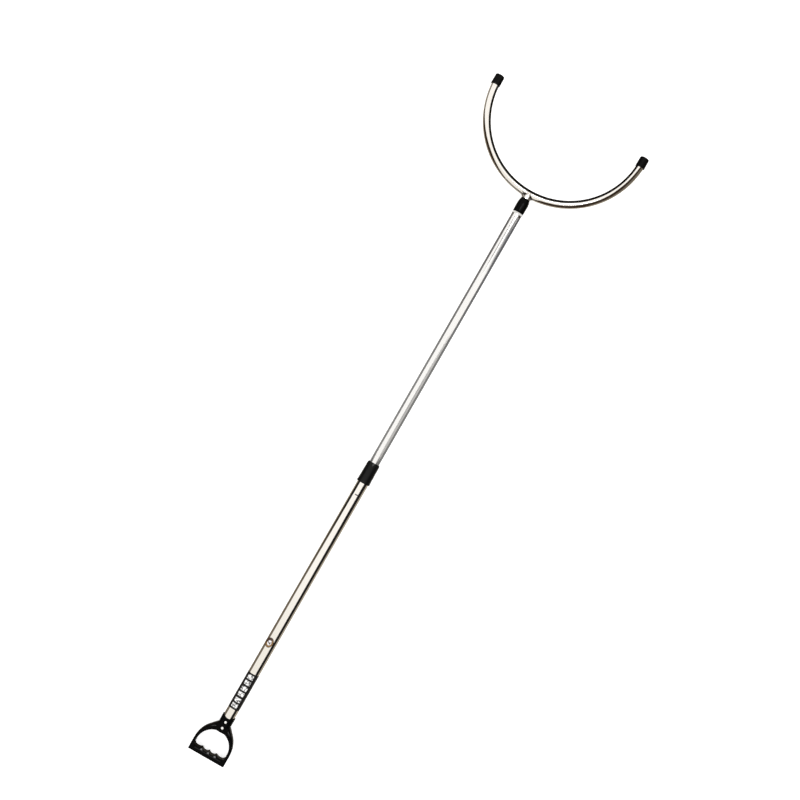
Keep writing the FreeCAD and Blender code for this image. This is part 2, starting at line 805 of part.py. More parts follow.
def check_and_export():
    """Stops on any failed feature or bad shape, then writes one file per sub-part."""
    doc.recompute()
    for thing in doc.Objects:
        if "Invalid" in thing.State or "Error" in thing.State:
            raise RuntimeError(f"{thing.Label} failed: {thing.State}")
    for thing in subparts:
        if thing.Shape.isNull() or not thing.Shape.isValid():
            raise RuntimeError(f"{thing.Label} has no valid shape")
    for thing in subparts:
        thing.Shape.exportStep(f"parts/{thing.Label}.step")
        box = thing.Shape.optimalBoundingBox(False)
        print(f"{thing.Label:16} {thing.Shape.Volume / 1000:9.3f} cm3  x {box.XMin:8.2f} {box.XMax:8.2f}"
              f"  y {box.YMin:7.2f} {box.YMax:7.2f}  z {box.ZMin:6.2f} {box.ZMax:6.2f}")


make_lower_pole()
make_lock()
make_upper_pole()
check_and_export()
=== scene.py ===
import math

import bmesh
import bpy
import numpy as np
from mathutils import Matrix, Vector


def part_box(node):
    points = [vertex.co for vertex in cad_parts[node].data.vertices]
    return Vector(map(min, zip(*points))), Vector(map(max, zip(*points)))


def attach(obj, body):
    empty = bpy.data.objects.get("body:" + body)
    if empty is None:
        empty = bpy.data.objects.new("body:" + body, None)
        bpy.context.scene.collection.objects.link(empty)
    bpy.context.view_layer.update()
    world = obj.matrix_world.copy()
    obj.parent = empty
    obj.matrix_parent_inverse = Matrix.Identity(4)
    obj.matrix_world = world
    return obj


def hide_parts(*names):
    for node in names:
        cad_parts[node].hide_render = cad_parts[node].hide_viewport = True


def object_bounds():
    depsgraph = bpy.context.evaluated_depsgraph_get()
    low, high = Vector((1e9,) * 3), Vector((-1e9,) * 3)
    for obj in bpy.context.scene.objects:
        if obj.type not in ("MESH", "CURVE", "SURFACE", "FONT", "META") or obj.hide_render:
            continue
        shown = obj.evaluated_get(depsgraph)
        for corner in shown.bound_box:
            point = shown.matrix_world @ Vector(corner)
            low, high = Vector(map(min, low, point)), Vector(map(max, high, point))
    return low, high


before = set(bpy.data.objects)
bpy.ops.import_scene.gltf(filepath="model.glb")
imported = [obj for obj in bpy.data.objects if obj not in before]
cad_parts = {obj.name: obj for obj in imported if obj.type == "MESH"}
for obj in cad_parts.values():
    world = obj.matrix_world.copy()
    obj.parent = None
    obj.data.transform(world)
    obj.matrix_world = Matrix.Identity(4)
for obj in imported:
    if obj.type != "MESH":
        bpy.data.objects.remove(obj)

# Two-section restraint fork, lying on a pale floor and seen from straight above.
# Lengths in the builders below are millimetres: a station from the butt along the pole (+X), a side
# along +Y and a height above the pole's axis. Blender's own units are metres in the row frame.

CAD_LOW, CAD_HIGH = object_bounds()
BUTT = CAD_LOW.x
AXIS_HEIGHT = (CAD_LOW.z + CAD_HIGH.z) / 2
MM = 0.001
LOWER, UPPER = "lower_pole", "upper_pole"
LOWER_TUBE_RADIUS, UPPER_TUBE_RADIUS, TUBE_WALL = 16.0, 14.0, 1.0
SEGMENTS, FINE_SEGMENTS = 96, 128
WHITE = (1.0, 1.0, 1.0, 1.0)


def place(points):
    """Row-frame metres of (station, side, height) points in millimetres."""
    return np.asarray(points, float) * MM + (BUTT, 0.0, AXIS_HEIGHT)


def span(node):
    """Start station, end station and half width of a CAD node, in millimetres."""
    low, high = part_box(node)
    return (low.x - BUTT) / MM, (high.x - BUTT) / MM, (high.y - low.y) / 2 / MM


# ---- node graphs


def add_node(tree, kind, inputs=None, **settings):
    """A shader node with its settings. Each input is a plain value or another node's socket."""
    made = tree.nodes.new("ShaderNode" + kind)
    for key, value in settings.items():
        setattr(made, key, value)
    for key, value in (inputs or {}).items():
        if isinstance(value, Term):
            value = value.socket
        if isinstance(value, bpy.types.NodeSocket):
            tree.links.new(value, made.inputs[key])
        else:
            made.inputs[key].default_value = value
    return made


class Term:
    """A number in a shader, which can be calculated with."""

    def __init__(self, tree, socket):
        self.tree, self.socket = tree, socket

    def math(self, operation, *others, clamp=False):
        inputs = dict(enumerate((self, *others)))
        made = add_node(self.tree, "Math", inputs, operation=operation, use_clamp=clamp)
        return Term(self.tree, made.outputs[0])

    def __add__(self, other):
        return self.math("ADD", other)

    def __sub__(self, other):
        return self.math("SUBTRACT", other)

    def __mul__(self, other):
        return self.math("MULTIPLY", other)

    def step(self, low, high):
        """0 below low and 1 above high, smooth between. With high under low it falls instead of rising."""
        made = add_node(self.tree, "MapRange", {0: self, 1: low, 2: high}, interpolation_type="SMOOTHSTEP")
        return Term(self.tree, made.outputs[0])

    def scaled(self, low, high):
        """0 and 1 of this term, carried to low and high."""
        return Term(self.tree, add_node(self.tree, "MapRange", {0: self, 3: low, 4: high}).outputs[0])


def parts(tree, vector):
    """The three numbers of a vector."""
    return [Term(tree, output) for output in add_node(tree, "SeparateXYZ", {0: vector}).outputs]


def material_tree(name):
    material = bpy.data.materials.new(name)
    material.use_nodes = True
    tree = material.node_tree
    tree.nodes.clear()
    return material, tree


def object_point(tree):
    return add_node(tree, "TexCoord").outputs["Object"]


def flow_point(tree):
    """Metres along a tube, and its two cross directions, which go round the bend with it."""
    return add_node(tree, "Attribute", attribute_name="flow").outputs["Vector"]


def noise(tree, point, scale, stretch=(1, 1, 1), detail=2.0, roughness=0.5):
    """Noise of `scale` features a metre, with the point stretched first."""
    mapped = add_node(tree, "Mapping", {"Vector": point, "Scale": stretch})
    made = add_node(tree, "TexNoise", {"Vector": mapped.outputs[0], "Scale": scale, "Detail": detail,
                                       "Roughness": roughness})
    return Term(tree, made.outputs["Fac"])


def mix_colour(tree, amount, first, second):
    """The first colour at 0 and the second at 1. Each is red, green and blue, or another node's socket."""
    first, second = ((*c, 1.0) if isinstance(c, (tuple, list)) else c for c in (first, second))
    return add_node(tree, "Mix", {0: amount, 6: first, 7: second}, data_type="RGBA").outputs[2]


def finish_material(tree, colour, roughness, metallic=0.0, specular=0.5, height=None, relief=0.0, coat=0.0):
    """The surface shader. height is a 0 to 1 term, and relief is its depth in metres."""
    shader = add_node(tree, "BsdfPrincipled", {
        "Base Color": colour, "Roughness": roughness, "Metallic": metallic,
        "Specular IOR Level": specular, "Coat Weight": coat, "Coat Roughness": 0.08,
    })
    if height is not None:
        bump = add_node(tree, "Bump", {"Height": height, "Distance": relief, "Strength": 1.0})
        tree.links.new(bump.outputs[0], shader.inputs["Normal"])
    out = add_node(tree, "OutputMaterial")
    tree.links.new(shader.outputs[0], out.inputs[0])


def drawn_steel(name, dark, light, rough_low, rough_high, relief, line_scale):
    """Steel with fine lines along the tube, faint clouds and a few scratches."""
    material, tree = material_tree(name)
    flow = flow_point(tree)
    lines = noise(tree, flow, line_scale, stretch=(0.012, 1, 1), detail=4.0, roughness=0.65)
    clouds = noise(tree, flow, 14, stretch=(0.35, 1, 1), detail=3.0)
    waves = noise(tree, flow, 60, stretch=(0.25, 1, 1), detail=1.0)
    scratch = noise(tree, flow, 420, stretch=(1, 0.05, 0.05), detail=2.0).step(0.70, 0.78)
    colour = mix_colour(tree, clouds * 0.6 + lines * 0.4, dark, light)
    rough = (clouds * 0.5 + lines * 0.5 + scratch * 0.35).scaled(rough_low, rough_high)
    height = lines * 0.6 + waves * 2.0 + scratch * 0.5
    finish_material(tree, colour, rough, metallic=1.0, height=height, relief=relief)
    return material


def moulded_plastic(name, gloss, grain_and_highlight_colour, roughness, specular, relief=0.00003, grain_scale=2600):
    """Black plastic: a fine moulded grain, handling marks, and where "grain" is 1 a lighter, rougher second
    colour, partly grain and partly painted highlight.
    """
    material, tree = material_tree(name)
    point = object_point(tree)
    grain_and_highlight_mask = Term(tree, add_node(tree, "Attribute", attribute_name="grain").outputs["Fac"])
    grain = noise(tree, point, grain_scale, detail=3.0, roughness=0.6)
    marks = noise(tree, point, 90, detail=4.0, roughness=0.6)
    scuffs = noise(tree, point, 700, stretch=(0.1, 1, 1), detail=2.0).step(0.66, 0.78)
    worn = (marks * 0.8 + grain * 0.3).step(0.35, 0.95)
    base = mix_colour(tree, worn, [c * 0.7 for c in gloss], [c * 1.5 for c in gloss])
    base = mix_colour(tree, scuffs * 0.25, base, [c * 3 for c in gloss])
    # Where "grain" is 1 the surface is rougher and lighter; the lighter colour paints highlights on the
    # handle's patches and on the turn mark.
    colour = mix_colour(tree, grain_and_highlight_mask, base, grain_and_highlight_colour)
    rough = marks * 0.5 + grain * 0.5 + scuffs * 0.4 + grain_and_highlight_mask * 0.5
    rough = rough.scaled(roughness - 0.08, roughness + 0.12)
    finish_material(tree, colour, rough, specular=specular, height=grain + marks * 0.5, relief=relief)
    return material


def nylon_material():
    material, tree = material_tree("natural_nylon")
    point = object_point(tree)
    clouds = noise(tree, point, 120, detail=3.0)
    turned_lines = noise(tree, point, 2200, stretch=(1, 0.05, 0.05), detail=2.0)
    colour = mix_colour(tree, clouds, (0.50, 0.49, 0.47), (0.62, 0.61, 0.58))
    finish_material(tree, colour, (clouds * 0.5 + turned_lines * 0.5).scaled(0.35, 0.55),
                    height=turned_lines, relief=0.00003)
    return material


def lock_metal(name, dark, light, thread_pitch=None):
    """Turned metal with tool lines, or with a thread of that pitch in metres."""
    material, tree = material_tree(name)
    point = object_point(tree)
    clouds = noise(tree, point, 160, detail=3.0)
    lines = noise(tree, point, 5000, stretch=(1, 0.04, 0.04), detail=2.0)
    height, relief = lines, 0.00002
    if thread_pitch:
        along, side, up = parts(tree, point)
        turn = (up - AXIS_HEIGHT).math("ARCTAN2", side)
        phase = along * (2 * math.pi / thread_pitch) + turn
        height, relief = phase.math("SINE") * 0.5 + 0.5 + lines * 0.05, 0.0006
    colour = mix_colour(tree, clouds, dark, light)
    finish_material(tree, colour, (clouds * 0.6 + lines * 0.4).scaled(0.2, 0.42), metallic=1.0,
                    height=height, relief=relief)
    return material


def weld_material():
    """Weld metal with straw and blue heat tints, and painted shade in the crotches beside the stub."""
    material, tree = material_tree("weld_metal")
    point = object_point(tree)
    tint = noise(tree, point, 150, detail=3.0)
    fine = noise(tree, point, 1800, detail=3.0)
    ramp = add_node(tree, "ValToRGB", {0: tint})
    stops = ((0.25, (0.42, 0.40, 0.38)), (0.48, (0.47, 0.43, 0.38)), (0.62, (0.36, 0.37, 0.42)),
             (0.80, (0.58, 0.56, 0.54)))
    while len(ramp.color_ramp.elements) < len(stops):
        ramp.color_ramp.elements.new(1.0)
    for element, (position, colour) in zip(ramp.color_ramp.elements, stops):
        element.position, element.color = position, (*colour, 1.0)
    x, y, _ = parts(tree, point)
    sideways = y.math("ABSOLUTE") + tint * 0.002
    forward = x + tint * 0.002
    start = BUTT + span("weld_bead")[0] * MM
    # Painted shade: the weld is drawn near black a little to either side of the stub, where the fillets'
    # shadows fall.
    crotch_shade = sideways.step(0.0062, 0.0080) * sideways.step(0.0190, 0.0140)
    crotch_shade = crotch_shade * forward.step(start + 0.005, start + 0.008)
    colour = mix_colour(tree, crotch_shade, ramp.outputs[0], (0.012, 0.009, 0.008))
    finish_material(tree, colour, (fine * 0.6 + tint * 0.4).scaled(0.22, 0.40), metallic=1.0,
                    height=fine, relief=0.0001)
    return material


# ---- mesh builders


def full_turn(count):
    """Angles evenly round a circle."""
    return np.linspace(0, 2 * math.pi, count, endpoint=False)


def arc(centre, radius, start, end, count):
    """Points on an arc from start to end, in degrees."""
    angles = np.radians(np.linspace(start, end, count))
    return [(centre[0] + radius * math.cos(a), centre[1] + radius * math.sin(a)) for a in angles]


def rounded(corners, arc_steps=5, longest=25.0, support=0.5):
    """A closed profile from corners (station, radius, rounding). Runs get extra points, at most `longest`
    apart, and one `support` from each end, which keeps the shading of an edge tight."""
    points = []
    count = len(corners)
    for index, (x, r, rounding) in enumerate(corners):
        here = np.array((x, r), float)
        to_last = np.array(corners[index - 1][:2], float) - here
        to_next = np.array(corners[(index + 1) % count][:2], float) - here
        last_length, next_length = np.linalg.norm(to_last), np.linalg.norm(to_next)
        to_last, to_next = to_last / last_length, to_next / next_length
        half = math.acos(np.clip(to_last @ to_next, -1, 1)) / 2
        if rounding <= 0 or half > math.radians(89):
            points.append(here)
            continue
        reach = min(rounding / math.tan(half), 0.48 * last_length, 0.48 * next_length)
        rounding = reach * math.tan(half)
        middle = (to_last + to_next) / np.linalg.norm(to_last + to_next)
        centre = here + middle * rounding / math.sin(half)
        first, second = here + to_last * reach - centre, here + to_next * reach - centre
        start, end = math.atan2(first[1], first[0]), math.atan2(second[1], second[0])
        turn = (end - start + math.pi) % (2 * math.pi) - math.pi
        for step in range(arc_steps + 1):
            angle = start + turn * step / arc_steps
            points.append(centre + rounding * np.array((math.cos(angle), math.sin(angle))))
    filled = []
    for index, point in enumerate(points):
        after = points[(index + 1) % len(points)]
        length = np.linalg.norm(after - point)
        filled.append(point)
        if length > 4 * support:
            pieces = max(1, math.ceil((length - 2 * support) / longest))
            cuts = np.linspace(support, length - support, pieces + 1)
            filled += [point + (after - point) * cut / length for cut in cuts]
    return np.array(filled)


def linked(name, data):
    """A new object in the scene."""
    made = bpy.data.objects.new(name, data)
    bpy.context.scene.collection.objects.link(made)
    return made


def make_mesh(name, vertices, faces, sharp=35.0):
    """A shaded mesh object from row-frame vertices, with doubled points merged. `sharp` is in degrees."""
    mesh = bpy.data.meshes.new(name)
    mesh.from_pydata([tuple(v) for v in vertices], [], [tuple(f) for f in faces])
    edit = bmesh.new()
    edit.from_mesh(mesh)
    bmesh.ops.remove_doubles(edit, verts=edit.verts, dist=1e-6)
    bmesh.ops.recalc_face_normals(edit, faces=edit.faces)
    edit.to_mesh(mesh)
    edit.free()
    mesh.shade_smooth()
    mesh.set_sharp_from_angle(angle=math.radians(sharp))
    return linked(name, mesh)


def set_attribute(thing, name, values):
    """A number or a vector for each vertex."""
    kind, field = ("FLOAT", "value") if np.ndim(values) == 1 else ("FLOAT_VECTOR", "vector")
    attribute = thing.data.attributes.new(name, kind, "POINT")
    attribute.data.foreach_set(field, np.asarray(values, np.float32).ravel())


def points_of(thing):
    """The vertices of a piece as (station, side, height) in millimetres."""
    points = np.zeros(len(thing.data.vertices) * 3, np.float32)
    thing.data.vertices.foreach_get("co", points)
    return (points.reshape(-1, 3) - (BUTT, 0.0, AXIS_HEIGHT)) / MM


def grid_faces(rows, columns, close_rows, close_columns):
    """Quads over a grid of rows x columns vertices, closed round in either direction."""
    faces = []
    for row in range(rows if close_rows else rows - 1):
        after = (row + 1) % rows
        for column in range(columns if close_columns else columns - 1):
            beside = (column + 1) % columns
            faces.append((row * columns + column, row * columns + beside,
                          after * columns + beside, after * columns + column))
    return faces


def turned(name, profile, segments, side=0.0):
    """A turned piece about the pole's axis, or a parallel one at a side."""
    angles = full_turn(segments)
    vertices = [(x, side + r * math.sin(a), r * math.cos(a)) for x, r in profile for a in angles]
    made = make_mesh(name, place(vertices), grid_faces(len(profile), segments, True, True))
    points = points_of(made)
    set_attribute(made, "flow", (points - (0, side, 0)) * MM)
    set_attribute(made, "grain", np.zeros(len(points)))
    return made


def finished(thing, material, body, slot, *nodes):
    """Gives a piece its material and body, and the CAD nodes that it stands for. The slot is not used."""
    thing.data.materials.append(material)
    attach(thing, body)
    if nodes:
        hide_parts(*nodes)


def turned_piece(name, corners, material, body, slot, node, segments=FINE_SEGMENTS, side=0.0):
    """A CAD node's piece, turned from a profile's corners."""
    finished(turned(name, rounded(corners), segments, side), material, body, slot, node)


def polygon_distance(x, y, outline):
    """Distance of points to a closed outline, negative inside."""
    x, y = np.asarray(x, float), np.asarray(y, float)
    nearest = np.full(x.shape, 1e18)
    inside = np.zeros(x.shape, bool)
    for (ax, ay), (bx, by) in zip(outline, outline[1:] + outline[:1]):
        ex, ey = bx - ax, by - ay
        length = ex * ex + ey * ey
        if length < 1e-12:
            continue
        share = np.clip(((x - ax) * ex + (y - ay) * ey) / length, 0, 1)
        nearest = np.minimum(nearest, (x - ax - share * ex) ** 2 + (y - ay - share * ey) ** 2)
        if ay != by:
            crosses = (ay > y) != (by > y)
            inside ^= crosses & (x < ax + ex * (y - ay) / ey)
    return np.where(inside, -1, 1) * np.sqrt(nearest)


def soft_union(a, b, blend):
    """The nearer of two solids, with a fillet where they meet."""
    mixed = np.clip(0.5 + 0.5 * (b - a) / blend, 0, 1)
    return b + (a - b) * mixed - blend * mixed * (1 - mixed)


def round_meet(a, b, rounding):
    """What is inside both solids, with a rounded edge where their surfaces meet."""
    outer = np.hypot(np.maximum(a + rounding, 0), np.maximum(b + rounding, 0))
    return np.minimum(np.maximum(a, b), -rounding) + outer


def surface_of(name, field, low, high, step):
    """A quad mesh on the zero level of a solid's distance field, by surface nets, pulled onto the field."""
    axes = [np.arange(a, b + step, step) for a, b in zip(low, high)]
    grid = np.meshgrid(*axes, indexing="ij")
    values = field(*grid)
    shape = tuple(n - 1 for n in values.shape)
    total, count = np.zeros((*shape, 3)), np.zeros(shape)
    crossings = []
    for axis in range(3):
        first = np.take(values, range(shape[axis]), axis)
        second = np.take(values, range(1, shape[axis] + 1), axis)
        crossing = (first < 0) != (second < 0)
        share = np.where(crossing, first / np.where(crossing, first - second, 1), 0)
        crossings.append((crossing, first < 0))
        others = [k for k in range(3) if k != axis]
        for shift in ((0, 0), (0, 1), (1, 0), (1, 1)):
            window = [slice(None)] * 3
            for other, offset in zip(others, shift):
                window[other] = slice(offset, shape[other] + offset)
            window = tuple(window)
            total[..., axis] += share[window]
            for other, offset in zip(others, shift):
                total[..., other] += crossing[window] * offset
            count += crossing[window]
    used = count > 0
    number = np.full(shape, -1)
    number[used] = np.arange(used.sum())
    corner = np.stack(np.nonzero(used), -1)
    vertices = (corner + total[used] / count[used][:, None]) * step + np.array(low)
    faces = []
    for axis, (crossing, starts_inside) in enumerate(crossings):
        others = [k for k in range(3) if k != axis]
        inner = [slice(None)] * 3
        for other in others:
            inner[other] = slice(1, shape[other])
        index = np.stack(np.nonzero(crossing[tuple(inner)]), -1)
        for other in others:
            index[:, other] += 1
        quad = []
        for shift in ((1, 1), (0, 1), (0, 0), (1, 0)):
            cell = index.copy()
            for other, offset in zip(others, shift):
                cell[:, other] -= offset
            quad.append(number[tuple(cell.T)])
        quad = np.stack(quad, -1)
        flip = starts_inside[tuple(index.T)] ^ (axis == 1)
        quad[flip] = quad[flip][:, ::-1]
        faces.append(quad)
    probe, passes, flattest = 0.04, 3, 0.2
    for _ in range(passes):
        value = field(*vertices.T)
        slope = np.stack([
            (field(*(vertices + offset).T) - field(*(vertices - offset).T)) / (2 * probe)
            for offset in np.eye(3) * probe
        ], -1)
        move = -(value / np.maximum((slope ** 2).sum(-1), flattest))[:, None] * slope
        vertices += np.clip(move, -0.5 * step, 0.5 * step)
    return make_mesh(name, place(vertices), np.concatenate(faces), sharp=48.0)


# ---- materials

POLISHED = drawn_steel("polished_steel", (0.76, 0.73, 0.69), (0.84, 0.82, 0.78), 0.05, 0.13,
                       relief=0.000004, line_scale=5200)
SATIN = drawn_steel("satin_steel", (0.74, 0.735, 0.73), (0.84, 0.84, 0.835), 0.13, 0.22,
                    relief=0.000006, line_scale=4200)
RIVET = lock_metal("bright_rivet", (0.86, 0.86, 0.85), (0.95, 0.95, 0.94))
# The handle's lighter second colour paints highlights on its tooth facets and grip line; on the web recesses
# it is partly grain, partly painted highlight.
HANDLE_BLACK = moulded_plastic("handle_black", (0.0012, 0.0012, 0.0013), (0.19, 0.19, 0.193), 0.32, 0.04)
# The ferrule's lighter second colour is used only on the turn mark, as a painted highlight.
FERRULE_BLACK = moulded_plastic("ferrule_black", (0.0016, 0.0016, 0.0017), (0.045, 0.045, 0.045),
                                0.34, 0.20, relief=0.00005, grain_scale=1900)
CAP_BLACK = moulded_plastic("cap_black", (0.0012, 0.0012, 0.0014), (0.03, 0.03, 0.03), 0.22, 0.055)
TIP_BLACK = moulded_plastic("tip_rubber", (0.0016, 0.0014, 0.0014), (0.03, 0.03, 0.03), 0.40, 0.08,
                            relief=0.00006, grain_scale=1500)
NYLON = nylon_material()
KEY_STEEL = lock_metal("blackened_steel", (0.05, 0.045, 0.045), (0.11, 0.10, 0.10))
LOCK_STEEL = lock_metal("zinc_steel", (0.50, 0.50, 0.52), (0.68, 0.68, 0.66))
STUD_STEEL = lock_metal("threaded_steel", (0.50, 0.50, 0.52), (0.68, 0.68, 0.66), thread_pitch=0.0025)
LOCK_ALLOY = lock_metal("turned_alloy", (0.62, 0.62, 0.63), (0.78, 0.78, 0.78))
WELD = weld_material()

# ---- D-handle

GRIP_HALF = span("d_handle")[2]
SOCKET_MOUTH = span("d_handle")[1]
HALF_DEPTH = 14.0
SOCKET_OUTLINE = [(80.5, 0), (80.5, 12.6), (82.2, 15.2), (86, 17.4), (92, 17.6), (127.6, 18.6),
                  (SOCKET_MOUTH, 18.7), (SOCKET_MOUTH, 0)]
HAND_HALF = 46.2
TEETH = (-20.7, 0.0, 20.7)
RIVET_STATIONS = (93.5, 111.5)
ARC_POINTS = 18


def mirrored(half):
    """A closed outline from its half with a positive side."""
    return [(x, y) for x, y in half] + [(x, -y) for x, y in reversed(half)]


def handle_outlines():
    """The D's outer outline and its hand opening, with sides that bend in as arcs."""
    grip_end, shoulder_bend, shoulder_turn, neck = 32, 75, 46.8, (101.2, 17.5)
    shoulder = arc((grip_end, GRIP_HALF - shoulder_bend), shoulder_bend, 90, shoulder_turn, ARC_POINTS)
    outer = mirrored([(0, GRIP_HALF), *shoulder, neck])
    side_start, side_end, top_end, bend = 21.2, Vector((36, HAND_HALF)), Vector((80, 12)), 47
    chord = top_end - side_end
    inward = Vector((chord.y, -chord.x)).normalized()
    centre = (side_end + top_end) / 2 + inward * math.sqrt(bend ** 2 - (chord.length / 2) ** 2)
    start, end = (math.degrees(math.atan2(*(point - centre).yx)) for point in (side_end, top_end))
    opening = mirrored([(side_start, HAND_HALF), *arc(centre, bend, start, end, ARC_POINTS)])
    return outer, opening


OUTER, OPENING = handle_outlines()
WEB = [(75.5, 37.0), (86.6, 18.6), (92.4, 18.6)]
INNER_SCALLOP, INNER_SCALLOP_RADIUS = (24.92, 10.35), 10.9
OUTER_SCALLOP, OUTER_SCALLOP_RADIUS = (35.1, 34.0), 19.0


def hand_opening(u, v):
    """The opening with its finger scallops, which leave three rounded teeth."""
    side, blend = np.abs(v), 1.6
    inner = np.hypot(u - INNER_SCALLOP[0], side - INNER_SCALLOP[1]) - INNER_SCALLOP_RADIUS
    outer = np.hypot(u - OUTER_SCALLOP[0], side - OUTER_SCALLOP[1]) - OUTER_SCALLOP_RADIUS
    hole = soft_union(polygon_distance(u, v, OPENING), inner, blend)
    hole = soft_union(hole, np.maximum(outer, u - OUTER_SCALLOP[0]), blend)
    return np.maximum(hole, side - HAND_HALF)


def grip_half_depth(u, side):
    """Half thickness of the D: a ledge thinner inside the grip, and falling away on the teeth."""
    ledge, ledge_width, ledge_drop = 10.4, 1.6, 1.5
    grip_side, side_fade, grip_end, end_fade = 43.2, 1.2, 30, 2
    facet, facet_slope, facet_drop = 13.2, 0.55, 4.5
    in_grip = np.clip((grip_side - side) / side_fade, 0, 1) * np.clip((grip_end - u) / end_fade, 0, 1)
    rise = np.clip((u - ledge) / ledge_width, 0, 1)
    tooth = np.clip((u - facet) * facet_slope, 0, facet_drop) * in_grip
    return HALF_DEPTH - ledge_drop * rise * rise * (3 - 2 * rise) * in_grip - tooth


def handle_field(u, v, w):
    """The D-handle's distance field. The last value of each joining call is its rounding."""
    side, depth, around = np.abs(v), np.abs(w), np.hypot(v, w)
    web_corner, web_half = 0.5, 5.0
    bore_radius, bore_end = 16.03, 86.0
    mouth_centre, mouth_radius = 155.8, 32.8
    seat_radius, seat_height = 4.5, 17.0
    outline = polygon_distance(u, v, OUTER)
    plate = round_meet(np.maximum(outline, -hand_opening(u, v)), depth - grip_half_depth(u, side), 1.4)
    plate = np.maximum(plate, round_meet(outline, depth - HALF_DEPTH, 5.0))
    web = round_meet(polygon_distance(u, side, WEB) - web_corner, web_half - depth, 1.0)
    plate = round_meet(plate, -web, 0.9)
    solid = soft_union(plate, polygon_distance(u, around, SOCKET_OUTLINE), 3.0)
    bore = np.maximum(around - bore_radius, bore_end - u)
    solid = round_meet(solid, -bore, 0.5)
    mouth = np.hypot(u - mouth_centre, v) - mouth_radius
    solid = round_meet(solid, -mouth, 0.8)
    for station in RIVET_STATIONS:
        seat = np.maximum(np.hypot(u - station, v) - seat_radius, seat_height - depth)
        solid = round_meet(solid, -seat, 0.3)
    return solid


def handle_grain_and_highlights(points):
    """1 on the lighter patches: the recessed webs, partly grain and partly painted highlight, and the tooth
    facets and the line along the grip, which are painted highlights.
    """
    u, side, depth = points[:, 0], np.abs(points[:, 1]), np.abs(points[:, 2])
    soft, facet_foot, facet_tip, line_station = 0.6, 12.6, 17.6, 11.4
    # Painted highlight: the facets under the teeth and a faint line along the grip are drawn lighter; the
    # webs are partly grain, partly painted highlight.
    web = np.clip(-polygon_distance(u, side, WEB) + soft, 0, 1) * (depth > 4.0) * (depth < 7.5)
    near_tooth = np.min([np.abs(points[:, 1] - tooth) for tooth in TEETH], axis=0)
    facet = np.clip((facet_tip - u) * 0.8 - near_tooth + soft, 0, 1) * np.clip((u - facet_foot) / 0.8, 0, 1)
    facet = facet * (depth > 8) * (side < 26)
    line = np.clip(1 - np.abs(u - line_station) / 0.9, 0, 1) * (side < 40) * (depth > 11)
    return np.maximum(np.maximum(web, facet * 0.9), line * 0.14)


def make_handle():
    """The D-handle as one moulding."""
    margin, half_high, step = 1.5, 20.5, 0.85
    made = surface_of("d_handle_moulding", handle_field, (-margin, -GRIP_HALF - margin, -half_high),
                      (SOCKET_MOUTH + margin, GRIP_HALF + margin, half_high), step)
    # These patches take the handle's lighter colour: painted highlights, partly grain on the webs.
    set_attribute(made, "grain", handle_grain_and_highlights(points_of(made)))
    finished(made, HANDLE_BLACK, LOWER, "handle_plastic", "d_handle")


make_handle()


def make_rivets():
    """Two rivets through the socket, domed at both ends, as one piece."""
    dome = [(0, 18.5), (1.2, 18.42), (2.3, 18.12), (3.2, 17.75), (3.7, 17.4), (3.8, 17.15), (2.5, 17.1)]
    profile = dome + [(r, -z) for r, z in reversed(dome)]
    angles = full_turn(48)
    vertices, faces = [], []
    for station in RIVET_STATIONS:
        start = len(vertices)
        vertices += [(station + r * math.cos(a), r * math.sin(a), z) for r, z in profile for a in angles]
        faces += [[start + k for k in face] for face in grid_faces(len(profile), len(angles), False, True)]
    made = make_mesh("rivet_pair", place(vertices), faces, sharp=50.0)
    finished(made, RIVET, LOWER, "rivet_steel", "handle_rivets")


make_rivets()

# ---- lower tube and what is on it


def make_tube(name, node, material, body, slot):
    """A plain tube with its edges broken."""
    start, end, radius = span(node)
    inner, inside, outside = radius - TUBE_WALL, 0.25, 0.35
    corners = [(start, inner, inside), (end, inner, inside), (end, radius, outside), (start, radius, outside)]
    turned_piece(name, corners, material, body, slot, node)


make_tube("polished_lower_tube", "lower_tube", POLISHED, LOWER, "polished_steel")
make_tube("satin_upper_tube", "upper_tube", SATIN, UPPER, "satin_steel")

LABEL_START, LABEL_END, LABEL_RADIUS = span("label_band")


def label_material():
    """Black film with six white abstract blocks, broken by dark veins."""
    material, tree = material_tree("label_print")
    point = object_point(tree)
    x, y, z = parts(tree, point)
    station = (x - (BUTT + LABEL_START * MM)) * (1 / MM)
    side = y * (1 / MM)
    top = z.step(AXIS_HEIGHT, AXIS_HEIGHT + 0.001)
    blocks, pitch, first, centre = 6, 17.3, 3.2, 7.6
    half_long, half_wide, aside, soft = 5.8, 8.4, 1.8, 0.5
    row = (station - first) * (1 / pitch)
    cell = row.math("FLOOR")
    along = (row - cell) * pitch - centre
    wobble = (cell * 2.4).math("SINE")
    inside = row.step(-0.02, 0.02) * row.step(blocks + 0.02, blocks - 0.02)
    edge = noise(tree, point, 260, detail=2.0).scaled(-2.6, 2.6)
    block = (along + edge * 0.6 + wobble * 0.4).math("ABSOLUTE").step(half_long + soft, half_long - soft)
    across = (side - aside - edge * 0.5).math("ABSOLUTE").step(half_wide + soft, half_wide - soft)
    block = block * across
    veins = (noise(tree, point, 120, detail=1.0) - 0.5).math("ABSOLUTE").step(0.055, 0.035)
    ink = block * (veins * -0.92 + 1.0) * inside * top
    rubbed = noise(tree, point, 1500, detail=3.0)
    white = mix_colour(tree, rubbed, (0.74, 0.73, 0.72), (0.90, 0.90, 0.89))
    black = mix_colour(tree, rubbed, (0.004, 0.004, 0.004), (0.010, 0.009, 0.009))
    finish_material(tree, mix_colour(tree, ink, black, white), rubbed.scaled(0.30, 0.45), specular=0.22,
                    height=ink + rubbed * 0.2, relief=0.00003)
    return material


